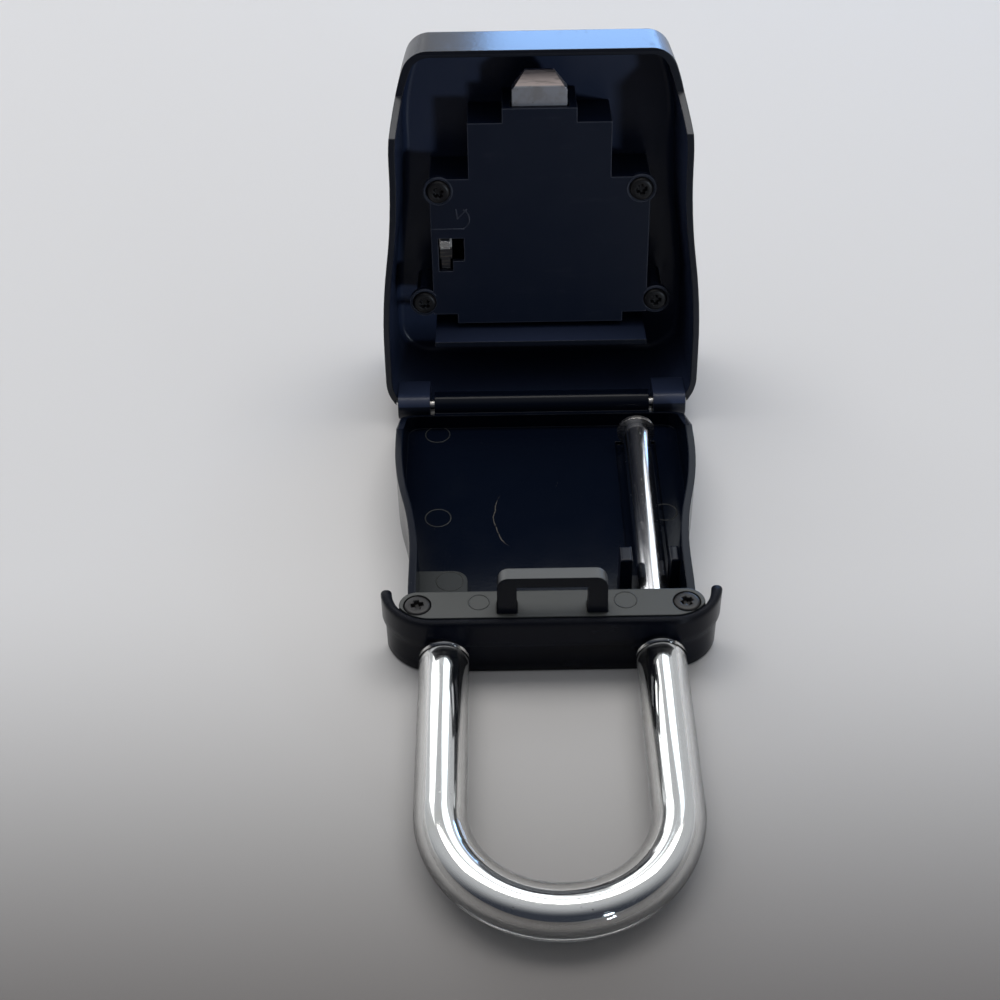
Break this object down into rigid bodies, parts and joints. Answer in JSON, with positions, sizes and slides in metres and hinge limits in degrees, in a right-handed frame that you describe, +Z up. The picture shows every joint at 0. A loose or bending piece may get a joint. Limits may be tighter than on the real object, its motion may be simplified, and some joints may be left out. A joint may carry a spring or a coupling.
{
  "type": "shackle key safe",
  "caption": "Portable key safe lying open on its back: waisted tray, deep hinged lid with code dials and latch bolt, and a sliding sleeved U shackle.",
  "frame": {"origin": "middle of the case's flat back face, on the surface it lies on", "axes": "+X across the case towards the long leg of the shackle, +Y from the shackle to the hinge, +Z up out of the back face"},
  "size_m": [0.0824, 0.2096, 0.0936],
  "materials": {
    "black_cast": "semi-gloss black over die-cast zinc",
    "grey_black_cast": "matt black, lightly worn",
    "collar_plastic": "satin moulded black",
    "cover_plastic": "fine-grained moulded black",
    "black_screws": "black oxide",
    "steel": "plain steel",
    "chrome_bar": "bright chrome",
    "clear_vinyl": "clear soft vinyl",
    "dial_plastic": "black with pale figures",
    "cam_metal": "plain cast"
  },
  "bodies": {
    "case": {"body_shell": "black_cast", "bumper_collar": "collar_plastic", "retainer_plate": "grey_black_cast", "retainer_screws": "black_screws", "catch_loop": "black_cast", "shackle_guide": "black_cast", "hinge_pin": "steel"},
    "shackle": {"shackle": "chrome_bar", "shackle_sleeve": "clear_vinyl", "retaining_ring": "steel"},
    "lid": {"lid_shell": "black_cast", "mechanism_cover": "cover_plastic", "cover_screws": "black_screws", "dial_axle": "steel", "detent_comb": "steel"},
    "latch": {"latch_bolt": "steel", "open_slide": "black_cast", "slide_screw": "steel"},
    "reset": {"reset_lever": "steel"},
    "shutter": {"shutter": "cover_plastic"},
    "dial_1": {"dial_1": "dial_plastic", "cam_1": "cam_metal"},
    "dial_2": {"dial_2": "dial_plastic", "cam_2": "cam_metal"},
    "dial_3": {"dial_3": "dial_plastic", "cam_3": "cam_metal"},
    "dial_4": {"dial_4": "dial_plastic", "cam_4": "cam_metal"}
  },
  "joints": [
    {"name": "lid_hinge", "type": "hinge", "parent": "case", "child": "lid", "pos_m": [0, 0.04445, 0.005], "axis": [1, 0, 0], "range_deg": [0, 98.5]},
    {"name": "shackle_slide", "type": "slide", "parent": "case", "child": "shackle", "axis": [0, -1, 0], "range_m": [0, 0.0486]},
    {"name": "bolt_slide", "type": "slide", "parent": "lid", "child": "latch", "axis": [0, 0.1478, 0.989], "range_m": [0, 0.0034]},
    {"name": "reset_slide", "type": "slide", "parent": "lid", "child": "reset", "axis": [1, 0, 0], "range_m": [0, 0.003]},
    {"name": "shutter_slide", "type": "slide", "parent": "lid", "child": "shutter", "axis": [0, -0.1478, -0.989], "range_m": [0, 0.022]},
    {"name": "dial_1_spin", "type": "hinge", "parent": "lid", "child": "dial_1", "pos_m": [-0.0135, 0.07696, 0.05272], "axis": [1, 0, 0], "continuous": true},
    {"name": "dial_2_spin", "type": "hinge", "parent": "lid", "child": "dial_2", "pos_m": [-0.0045, 0.07696, 0.05272], "axis": [1, 0, 0], "continuous": true},
    {"name": "dial_3_spin", "type": "hinge", "parent": "lid", "child": "dial_3", "pos_m": [0.0045, 0.07696, 0.05272], "axis": [1, 0, 0], "continuous": true},
    {"name": "dial_4_spin", "type": "hinge", "parent": "lid", "child": "dial_4", "pos_m": [0.0135, 0.07696, 0.05272], "axis": [1, 0, 0], "continuous": true}
  ]
}
